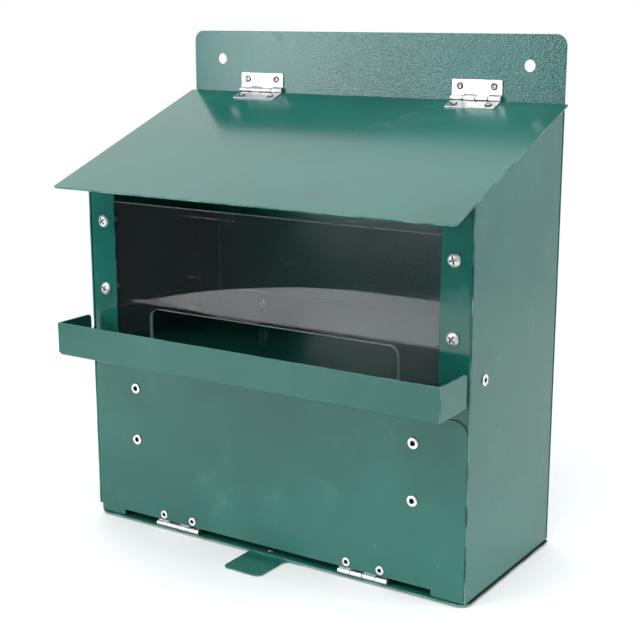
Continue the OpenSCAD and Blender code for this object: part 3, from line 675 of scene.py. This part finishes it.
def lay_sheet(name, body, loops, place, slot="green_paint", material=None, thickness=SHEET,
              cuts=()):
    """A sheet made from its blank: cut across where it bends, then placed by the function
    place(u, v, w), which returns x, y and z."""
    points, faces, rims = sheet(loops, thickness)
    if cuts:
        points, faces, rims = cut_across(points, faces, rims, cuts)
    points = np.stack(np.broadcast_arrays(*place(*points.T)), -1)
    piece(name, body, slot, material or COATS[slot], points, faces, rims)


def back_plate():
    """Flat upright plate: x = u, z = v, and w from the rear face forward."""
    outline = rectangle(-SIDE_X, BASE_Z, SIDE_X, PLATE_TOP_Z, [1.5, 1.5, 8, 8], 10)
    holes = holes_at(both(HANGING_X), [HANGING_Z], HANGING_HOLE, 40)
    holes += holes_at(LID_HOLES_X, [LID_AXIS[1] + LID_HOLE], LID_RIVET_HOLE, 16)
    holes += holes_at(both(REAR_RIVET[0]), REAR_RIVET[1:], LARGE_HOLE, 20)
    holes += holes_at(both(CATCH_RIVET[0]), CATCH_RIVET[1:], SMALL_HOLE, 20)
    lay_sheet("back_plate", "cabinet", [outline] + holes,
              lambda u, v, w: (u, REAR_Y - w, v), "textured_green_paint")


def on_lid(u, v, w):
    """Places on the closed lid: v goes up the slope from over the side panels' front corners,
    and w stands square to it from their edge line."""
    return u, FRONT_Y + v * COS - w * SIN, SIDE_TOP_Z + v * SIN + w * COS


LID_GAP = 0.3
LID_AXIS_V = (LID_AXIS[0] - FRONT_Y + (LID_GAP + SHEET + BARREL_RISE) * SIN) / COS
LID_HOLE_V = LID_AXIS_V - LID_HOLE


def lid_panel():
    """Flat sloping plate with rounded front corners."""
    front, rear, half = -32.5 / COS, 141.36, 163.3
    outline = rectangle(-half, front, half, rear, [3, 3, 1, 1], 10)
    holes = holes_at(LID_HOLES_X, [LID_HOLE_V], LID_RIVET_HOLE, 16)
    lay_sheet("lid_panel", "lid", [outline] + holes, lambda u, v, w: on_lid(u, v, w + LID_GAP))


def front_panel():
    """Flat plate with rounded top corners, a hinge slot and a relief at the lower left."""
    half, top, slot_x, slot_top, relief = 158.5, 128.1, 133.9, 7.3, -157
    corners = [(relief, BASE_Z), (-slot_x, BASE_Z), (-slot_x, slot_top), (slot_x, slot_top),
               (slot_x, BASE_Z), (half, BASE_Z), (half, top), (-half, top), (-half, RELIEF_Z),
               (relief, RELIEF_Z)]
    outline = rounded(corners, [0.4, 2, 0.5, 0.5, 2, 0.5, 10, 10, 0.4, 0.4], 10)
    holes = holes_at(both(BRACKET_X), BRACKET_ZS, LARGE_HOLE)
    holes += holes_at(DOOR_HOLES_X, [DOOR_AXIS[1] + DOOR_HOLE], SMALL_HOLE, 24)
    lay_sheet("front_panel", "cabinet", [outline] + holes, lambda u, v, w: (u, POST_Y - w, v))


def side_panels():
    """Sides that are folded inwards at the rear: u runs back along the side and then in along
    the flange, v up, and w in from the outer face."""
    bend, flange = Bend(PLATE_Y - BEND - FRONT_Y), 22.0
    end = bend.end + flange - BEND
    level = bend.start + 0.8    # from here back the top edge is level
    # The left one is set back a little above the tray, and notched at its lower front corner
    set_back, shoulder, notch = 0.8, 150, 5
    rear_top = SIDE_TOP_Z + level * TAN
    for side, word in SIDES:
        corners = [(end, BASE_Z), (end, rear_top), (level, rear_top)]
        radii = [0.6] * 5
        if side < 0:
            corners += [(set_back, SIDE_TOP_Z + set_back * TAN), (set_back, shoulder),
                        (0, shoulder), (0, RELIEF_Z), (notch, RELIEF_Z), (notch, BASE_Z)]
            radii = [0.6] * 4 + [0.3, 0.3] + [0.6] * 3
        else:
            corners += [(0, SIDE_TOP_Z), (0, BASE_Z)]
        outline = rounded(corners, radii, 4)
        holes = holes_at([SIDE_RIVET[0] - FRONT_Y], SIDE_RIVET[1:], LARGE_HOLE)

        def place(u, v, w):
            along, up = bend.fold(u, w)
            return side * (SIDE_X - up), FRONT_Y + along, v

        lay_sheet(word + "side_panel", "cabinet", [outline] + holes, place,
                  material=EDGE_SHADE_COAT if side > 0 else None, cuts=bend.cuts("u"))


def window_posts():
    """Folded posts: u runs out along the screwed face and then back along the side panel."""
    leg, radius = 26.0, 1.5
    bend = Bend(SIDE_IN_X - radius - POST_IN_X, radius)
    end = bend.end + leg - radius
    front = SIDE_TOP_Z + SHEET * TAN - 0.1    # stays clear of the lid
    corners = [(0, BASE_Z), (end, BASE_Z), (end, front + leg * TAN),
               (bend.start + 1, front), (0, front)]
    outline = rounded(corners, [1, 1, 1, 3, 1], 4)
    holes = holes_at([SCREW_X - POST_IN_X], SCREW_ZS, SCREW_HOLE)
    holes += holes_at([bend.end + SIDE_RIVET[0] - POST_Y - radius], SIDE_RIVET[1:], LARGE_HOLE)
    for side, word in SIDES:

        def place(u, v, w):
            along, up = bend.fold(u, w)
            return side * (POST_IN_X + along), POST_Y + up, v

        lay_sheet(word + "window_post", "cabinet", [outline] + holes, place,
                  material=GLOSSY_COAT, cuts=bend.cuts("u"))


def feeding_tray():
    """Tray and inner floor from one blank. u runs across and v back; it bends upwards at the
    front lip, the two side lips in front, the two side flanges behind and the rear flange."""
    half, front, back, lip = 158.5, -86.6, -49.5, 24.4
    neck, inner, rear_half, inner_front = 135.7, LEG_IN_X, 137.7, PANE_Y + 1
    length = Bend(0).length
    flap = length + lip - BEND
    front_line, rear_line = front + BEND, PLATE_Y - BEND
    side_line, inner_line, side_back = half - BEND, inner - BEND, rear_line - 0.1
    # The side lips end behind the front lip; below, a small notch relieves the corner
    lip_end = front + SHEET + 0.1
    right = [(half - 0.1, front_line - flap), (half - 0.1, front_line - length),
             (half - 1.5, front_line - 0.75 * length),
             (side_line - 0.3, front_line + 0.3), (side_line + 0.6, front_line + 0.3),
             (side_line + length, lip_end), (side_line + flap, lip_end),
             (side_line + flap, back), (neck, back), (neck, inner_front),
             (inner_line + flap, inner_front), (inner_line + flap, side_back),
             (rear_half, side_back), (rear_half, rear_line + flap)]
    radii = [0.6, 0.3, 0.3, 0.2, 0.2, 0.3, 0.6, 3.5, 0.8, 0.8, 1.5, 1.5, 0.8, 1.5]
    shorter = 2    # the left lip ends this much further forward
    left = [(-u, v - shorter if v == back else v) for u, v in reversed(right)]
    outline = rounded(right + left, radii + radii[::-1], 6)
    on_flap = length - TRAY_Z - BEND
    holes = holes_at(both(inner_line + on_flap + SIDE_RIVET[1]), SIDE_RIVET[:1], LARGE_HOLE)
    holes += holes_at(both(REAR_RIVET[0]), [rear_line + on_flap + REAR_RIVET[1]], LARGE_HOLE)
    cuts = [cut for line in (side_line, inner_line) for cut in Bend(line).cuts("u")]
    cuts += [(axis, -value) for axis, value in cuts]
    cuts += Bend(rear_line).cuts("v") + [("v", -v) for _, v in Bend(-front_line).cuts("v")]

    def place(u, v, w):
        line = np.where(v < (back + inner_front) / 2, side_line, inner_line)
        out, up_side = Bend(line).fold(np.abs(u), w)
        to_rear, up_rear = Bend(rear_line).fold(v, w)
        to_front, up_front = Bend(-front_line).fold(-v, w)
        behind = (v > rear_line) & (np.abs(u) < rear_half + 0.5)
        past = np.abs(u) - side_line
        before = (v < front_line) & ((past < 0) | (v < front_line - 0.45 - 0.35 * past))
        x = np.where(behind | before, u, np.sign(u) * out)
        y = np.where(behind, to_rear, np.where(before, -to_front, v))
        z = np.where(behind, up_rear, np.where(before, up_front, up_side))
        return x, y, TRAY_Z + z

    lay_sheet("feeding_tray", "cabinet", [outline] + holes, place, cuts=cuts)


def tray_brackets():
    """Angle brackets under the tray's floor: v runs forward along the arm and then down."""
    arm, drop, thickness, radius = 60.0, TRAY_Z - BRACKET_ZS[0] + 10, 1.5, 2.5
    bend = Bend(arm - radius, radius, thickness=thickness)
    outline = rectangle(-10, 0, 10, bend.end + drop - radius, 3)
    holes = holes_at([0], [bend.end + TRAY_Z - z - radius for z in BRACKET_ZS], LARGE_HOLE)
    for side, word in SIDES:

        def place(u, v, w):
            along, up = bend.fold(v, w)
            return side * BRACKET_X + u, POST_Y + arm - along, TRAY_Z - up

        lay_sheet(word + "tray_bracket", "cabinet", [outline] + holes, place,
                  thickness=thickness, cuts=bend.cuts("v"))


def catch_bracket():
    """Shelf over the magnet and upright on the back plate: v runs back and then up."""
    shelf, upright, shelf_z, hole = 24.4, 24.0, 9.7, 12.2
    bend = Bend(shelf - BEND)
    outline = rectangle(-15, 0, 15, bend.end + upright - BEND, 3)
    holes = holes_at([0], [hole], SMALL_HOLE)
    holes += holes_at(both(CATCH_RIVET[0]), [bend.end + hole], SMALL_HOLE)

    def place(u, v, w):
        along, up = bend.fold(v, w)
        return u, PLATE_Y - shelf + along, shelf_z + up

    lay_sheet("catch_bracket", "cabinet", [outline] + holes, place, cuts=bend.cuts("v"))


def bottom_door():
    """Flat door plate under the cabinet, and the tab under its front edge."""
    front = FRONT_Y - DOOR_PROUD
    outline = rectangle(DOOR_LEFT, front, DOOR_RIGHT, REAR_Y, [8, 8, 3.5, 3.5], 12)
    holes = holes_at(DOOR_HOLES_X, [DOOR_AXIS[0] + DOOR_HOLE], SMALL_HOLE, 24)
    tab_hole = holes_at([0], [TAB_RIVET_Y], LARGE_HOLE)
    lay_sheet("bottom_door", "door", [outline] + holes + tab_hole,
              lambda u, v, w: (u, v, w + SHEET), material=DOOR_SHADE_AND_DIRT_COAT)
    left, right, tip, root = -15.05, 17.45, FRONT_Y - 33.5, FRONT_Y + 20
    corners = [(left, tip), (right, tip), (right, front), (right + 12, front),
               (right + 12, root), (left, root)]
    outline = rounded(corners, [5, 5, 6, 1, 3, 3], 10)
    lay_sheet("pull_tab", "door", [outline] + tab_hole, lambda u, v, w: (u, v, w))


def window_pane():
    """Clear pane with its feeding cut-out, open at the bottom; its sawn edges are matt."""
    half, top, cut, cut_top = 154.0, 247.2, 105.0, 170.2
    corners = [(-half, FLOOR_Z), (-cut, FLOOR_Z), (-cut, cut_top), (cut, cut_top),
               (cut, FLOOR_Z), (half, FLOOR_Z), (half, top), (-half, top)]
    outline = rounded(corners, [1, 1, 7, 7, 1, 1, 1.5, 1.5], 10)
    holes = holes_at(both(SCREW_X), SCREW_ZS, SCREW_HOLE)
    points, faces, rims = sheet([outline] + holes, PANE, 0.22, 2)
    u, v, w = points.T
    points = np.column_stack([u, PANE_Y + PANE - w, v])
    sawn = [rims[face].max() > 0 for face in faces]
    piece("window_pane", "cabinet", "clear_pane", ACRYLIC, points, faces, rims,
          second=(SAWN_ACRYLIC, sawn))


# Hinges

def hinge_leaf(name, body, first, hole_reach, hole, place, turn):
    """A leaf whose knuckles are rolled from the sheet round the pin.

    In the blank u runs along the pin and v from the leaf's free edge to the pin. Past the pin
    the tabs turn through 300 degrees at the barrel's radius. Up to there a soft step brings
    the leaf (1 mm, 2.2 mm off the axis) to the knuckles' wall (0.85 mm, 1.9 mm off it).
    """
    barrel, wall, roll, gap, count = 1.9, 0.85, math.radians(300), 0.45, 4
    long = (HINGE_L - (count - 1) * gap) / count
    half, step = HINGE_L / 2, LEAF_REACH - barrel - gap
    bend = Bend(LEAF_REACH, barrel, roll, wall)
    corners = [(-half, 0), (half, 0), (half, step)]
    for k in reversed(range(first, count, 2)):
        left = k * (long + gap) - half
        right = left + long
        corners += [(right, step), (right, bend.end), (left, bend.end), (left, step)]
    corners.append((-half, step))
    # At a knuckle that is flush with the leaf's side, the two corners at its root coincide
    corners = [c for c in corners if sum(math.dist(c, other) < 0.01 for other in corners) == 1]
    radii = [1.0, 1.0] + [0.25] * (len(corners) - 2)
    outline = rounded(corners, radii, 4)
    holes = holes_at(both(HOLE_SPAN / 2), [LEAF_REACH - hole_reach], hole, 24)
    points, faces, rims = sheet([outline] + holes, LEAF, 0.22, 3)
    cuts = [("v", LEAF_REACH - d) for d in (2.2, 1.8, 1.4, 1.0, 0.6)]
    cuts += bend.cuts("v", 28)
    points, faces, rims = cut_across(points, faces, rims, cuts)
    u, v, w = points.T
    along, up = bend.fold(v, w * wall / LEAF)
    near = smooth_step(LEAF_REACH - v, 0.4, 2.3)
    up = np.where(v < LEAF_REACH, up * (1 - near) + (w - BARREL_RISE + barrel) * near, up)
    points = np.column_stack([u, LEAF_REACH - along, up - barrel])
    piece(name, body, "hinge_zinc", ZINC, moved(points, place, turn), faces, rims)


def hinge_pin(name, place):
    """A drawn pin along x whose ends are peened to low domes."""
    half = HINGE_L / 2
    profile = softened([(0, -half), (0.98, -half), (0.98, half), (0, half)], 0.3, 4)
    points, faces = turned(profile, 32)
    points = moved(points, place, FACING_RIGHT)
    piece(name, "cabinet", "pin_steel", SHADE_DARK_PIN_STEEL, points, faces, sharp=50)


def hinges():
    """Both lid hinges and both door hinges, each with two leaves and a pin."""
    down_lid = ((-1, 0, 0), (0, -COS, -SIN), (0, -SIN, COS))
    kinds = (("lid_hinge", "lid", LID_HINGE_X, LID_AXIS, 0, LID_HOLE, LID_RIVET_HOLE, down_lid),
             ("door_hinge", "door", DOOR_HINGE_X, DOOR_AXIS, 1, DOOR_HOLE, SMALL_HOLE, UNTURNED))
    for side, word in SIDES:
        for kind, body, x, axis, first, reach, hole, turn in kinds:
            name, place = word + kind, (side * x, *axis)
            hinge_leaf(name + "_fixed_leaf", "cabinet", 0, reach, hole, place, FACING_FRONT)
            hinge_leaf(name + "_moving_leaf", body, first, reach, hole, place, turn)
            hinge_pin(name + "_pin", place)


# Fasteners

def rivet(head, shank, grip, tail=True, bore=0.215):
    """Points, faces and the mask of the dark bore of a pulled rivet along +z, with its head
    on z = 0. Its turned profile goes up from the upset tail, round the domed head and down
    the open bore to the broken stem. bore is the bore's radius over the head's diameter."""
    h, b, r = head * 0.15, head * bore, shank / 2
    low = -grip - (shank / 2 if tail else 0)
    start = [(0, low), (r * 0.8, low), (r * 1.36, low + r * 0.5), (r * 1.36, -grip),
             (r, -grip)] if tail else [(0, low), (r - 0.1, low), (r, low + 0.1)]
    dome = [(0.42, 0), (0.465, 0.12), (0.495, 0.32), (0.5, 0.46), (0.492, 0.6), (0.47, 0.75),
            (0.42, 0.9), (0.36, 0.98), (0.3, 1)]
    lip = [(b + head * 0.05, h * 0.93), (b + head * 0.02, h * 0.74)]
    inside = [(1, 0.4), (0.97, -1), (0.72, -1.15), (0.6, -0.8), (0.3, -0.62), (0, -0.6)]
    dome, inside = ([(x * across, z * h) for x, z in part]
                    for part, across in ((dome, head), (inside, b)))
    profile, steps = start + [(r, 0)] + dome + lip + inside, 40
    points, faces = turned(profile, steps)
    rows = np.array([max(face) for face in faces]) // steps
    dark = (rows >= len(profile) - len(inside) - 1) & (rows < len(profile))
    dark[-2 * steps:-steps] = False    # the fan that closes the tail
    return points, faces, dark


def rivets(name, body, size, grip, places, turns, tail=True, bore=0.215, shell=BRIGHT,
           stem=STEM_AND_BORE_SHADE):
    """The same rivet at several places. turns is one for all of them or one for each."""
    shape, faces, dark = rivet(*size, grip, tail, bore)
    turns = np.broadcast_to(turns, (len(places), 3, 3))
    points, all_faces = joined([(moved(shape, *spot), faces) for spot in zip(places, turns)])
    piece(name, body, "bright_rivet", shell, points, all_faces,
          second=(stem, np.tile(dark, len(places))), sharp=55)


def all_rivets():
    """Every rivet, at the holes of the sheets that it holds."""
    rivets("bracket_rivets", "cabinet", LARGE_RIVET, SHEET + 1.5,
           [(s * BRACKET_X, FRONT_Y, z) for s in (-1, 1) for z in BRACKET_ZS], FACING_FRONT)
    rivets("tray_side_rivets", "cabinet", LARGE_RIVET, 3 * SHEET,
           [(s * SIDE_X, *SIDE_RIVET) for s in (-1, 1)], (FACING_LEFT, FACING_RIGHT))
    rivets("tray_rear_rivets", "cabinet", LARGE_RIVET, 2 * SHEET,
           [(s * REAR_RIVET[0], PLATE_Y - SHEET, REAR_RIVET[1]) for s in (-1, 1)],
           FACING_FRONT, tail=False)
    # The lid hinges' rivets get a dark shell as painted shade round their heads, and a bright
    # bore
    shade_painted_rivet = {"bore": 0.26, "shell": SHADED_RIVET_SHELL, "stem": BRIGHT}
    rivets("lid_hinge_rear_rivets", "cabinet", LID_RIVET, LEAF + SHEET,
           [(x, PLATE_Y - LEAF, LID_AXIS[1] + LID_HOLE) for x in LID_HOLES_X],
           FACING_FRONT, tail=False, **shade_painted_rivet)
    rivets("lid_hinge_lid_rivets", "lid", LID_RIVET, LEAF + SHEET,
           [on_lid(x, LID_HOLE_V, LID_GAP + SHEET + LEAF) for x in LID_HOLES_X],
           ((1, 0, 0), (0, COS, SIN), (0, -SIN, COS)), **shade_painted_rivet)
    rivets("door_hinge_front_rivets", "cabinet", SMALL_RIVET, SHEET + LEAF,
           [(x, FRONT_Y, DOOR_AXIS[1] + DOOR_HOLE) for x in DOOR_HOLES_X], FACING_FRONT)
    rivets("door_hinge_door_rivets", "door", SMALL_RIVET, SHEET + LEAF,
           [(x, DOOR_AXIS[0] + DOOR_HOLE, SHEET) for x in DOOR_HOLES_X], FACING_DOWN)
    rivets("pull_tab_rivet", "door", (6.4, 4), 2 * SHEET, [(0, TAB_RIVET_Y, 2 * SHEET)],
           UNTURNED, tail=False)
    rivets("catch_magnet_rivet", "cabinet", SMALL_RIVET, MAGNET_FACE + SHEET,
           [(0, MAGNET_Y, BASE_Z + MAGNET_FACE)], FACING_DOWN)
    rivets("catch_bracket_rivets", "cabinet", SMALL_RIVET, 2 * SHEET,
           [(s * CATCH_RIVET[0], PLATE_Y - SHEET, CATCH_RIVET[1]) for s in (-1, 1)],
           FACING_FRONT, tail=False)


def pan_screw(spin):
    """A pan head screw along +z with its head on z = 0, and the mask of its recess, whose faces
    get a darker painted shade.

    The head's top is a polar grid: a dome falling with the fourth power of the radius, less a
    cross whose arms are products of smooth steps across and along. The thread is a radius
    that rises and falls with height / pitch + angle / full turn.
    """
    head, high, r, long, pitch, steps = 4.65, 2.6, 2.5, 13.0, 0.8, 96
    depth, cut, plain = 1.6, 0.36, 1.6    # of the recess, of the thread; length without thread
    a = full_turn(steps)[None]
    turns = np.linspace(0, 1, 92)[:, None]
    height = -long + (long - plain) * turns
    wave = np.abs(((height / pitch + a / (2 * np.pi)) % 1) * 2 - 1)
    ends = smooth_step(turns, 0, 0.06) * smooth_step(1 - turns, 0, 0.04)
    thread = r - cut * ends * wave - cut * (1 - smooth_step(turns, 0, 0.06))
    rows = [polar(thread, a, height)]
    rim = [(r, -1.4), (r, 0), (head - 0.25, 0), (head, 0.2), (head, 0.9)]
    rings = [(head - 0.12 * k ** 2, 0.9 + 0.3 * k) for k in (1, 2)]
    outer, z = np.array(rim + rings).T[:, :, None]
    rows.append(polar(outer, a, z))
    q = np.linspace(1, 0.02, 34)[:, None] * rings[-1][0]
    dome = high - (high - rings[-1][1]) * (q / rings[-1][0]) ** 4
    x, y = q * np.cos(a + spin), q * np.sin(a + spin)
    arms = [smooth_step(-np.abs(k), -0.78, -0.5) * smooth_step(-np.abs(m), -2.75, -2.3)
            for k, m in ((x, y), (y, x))]
    arms = np.maximum(*arms)
    z = dome - depth * arms * (1 - 0.3 * q / head)
    rows.append(polar(q, a, z)[1:])
    rows = np.concatenate(rows)
    deep = np.zeros(rows.shape[:2])
    deep[-len(q) + 1:] = arms[1:]
    points = np.concatenate([rows.reshape(-1, 3), [[0, 0, -long], [0, 0, high - depth]]])
    deep = np.append(deep.ravel(), [0, 1])
    faces = capped_faces(len(rows), steps)
    return points, faces, [deep[face].mean() > 0.5 for face in faces]


def hex_nut():
    """A nut along +z. Its side is a polar hexagon, apothem / cos(angle from the flat's middle),
    and its corners are cut by cones that rise by 0.55 of the way in."""
    flat, high, bore, steps = 4.0, 4.0, 2.55, 96
    a = full_turn(steps)[None]
    side = flat / np.cos((a + np.pi / 6) % (np.pi / 3) - np.pi / 6)
    cone = 0.55 * (side - flat)
    rings = [(bore, 0.4), (bore + 0.35, 0), (flat - 0.1, 0), (side, 0.08 + cone),
             (side, high - 0.08 - cone), (flat - 0.1, high), (bore + 0.35, high),
             (bore, high - 0.4)]
    rows = np.concatenate([polar(r, a, z) for r, z in rings])
    return rows.reshape(-1, 3), ring_faces(len(rings), steps)


def ring_washer():
    """A flat washer along +z with eased edges: a rounded rectangle carried round the axis."""
    return revolved(rectangle(2.55, 0, 5, 1, 0.15, 3), 48)


def window_fasteners():
    """The four screws through the posts and the pane, with their washers and nuts."""
    spots = [(s * SCREW_X, z) for s in (-1, 1) for z in SCREW_ZS]
    rear, washer, nut = PANE_Y + PANE, 1, 4
    spins = (0.35, 1.0, 0.62, 1.27)
    sets = (
        ("window_screws", POST_Y, [pan_screw(spin) for spin in spins], 35),
        ("window_washers", rear + washer, [ring_washer()] * 4, 60),
        ("window_nuts", rear + washer + nut, [hex_nut()] * 4, 30),
    )
    for name, y, shapes, sharp in sets:
        parts = [(moved(shape[0], (x, y, z), FACING_FRONT), shape[1])
                 for shape, (x, z) in zip(shapes, spots)]
        recess = np.concatenate([shape[2] for shape in shapes]) if len(shapes[0]) > 2 else None
        piece(name, "cabinet", "screw_zinc", SCREW, *joined(parts), sharp=sharp,
              second=None if recess is None else (RECESS_SHADE, recess))


def catch_magnet():
    """A ferrite ring pressed into a steel pot that opens downwards; both are turned."""
    low, high, r, bore, well, face = 0.0, 7.0, 10.0, 1.65, 3.25, MAGNET_FACE
    pot = softened([(bore, high), (bore, high - 1.2), (r - 1, high - 1.2), (r - 1, low),
                    (r, low), (r, high)], [0.1, 0.4, 0.2, 0.2], 3)
    core = softened([(bore, high - 1.3), (bore, face), (well, face), (well, 0.3),
                     (r - 1.15, 0.3), (r - 1.15, high - 1.3)], [0.1, 0.1, 0.3, 0.3], 3)
    parts = [revolved(section, 64) for section in (pot, core)]
    points, faces = joined(parts)
    ferrite = np.arange(len(faces)) >= len(parts[0][1])
    piece("catch_magnet", "cabinet", "magnet", SCREW,
          moved(points, (0, MAGNET_Y, BASE_Z)), faces, second=(FERRITE, ferrite), sharp=40)


back_plate()
lid_panel()
front_panel()
side_panels()
window_posts()
feeding_tray()
tray_brackets()
catch_bracket()
bottom_door()
window_pane()
hinges()
all_rivets()
window_fasteners()
catch_magnet()
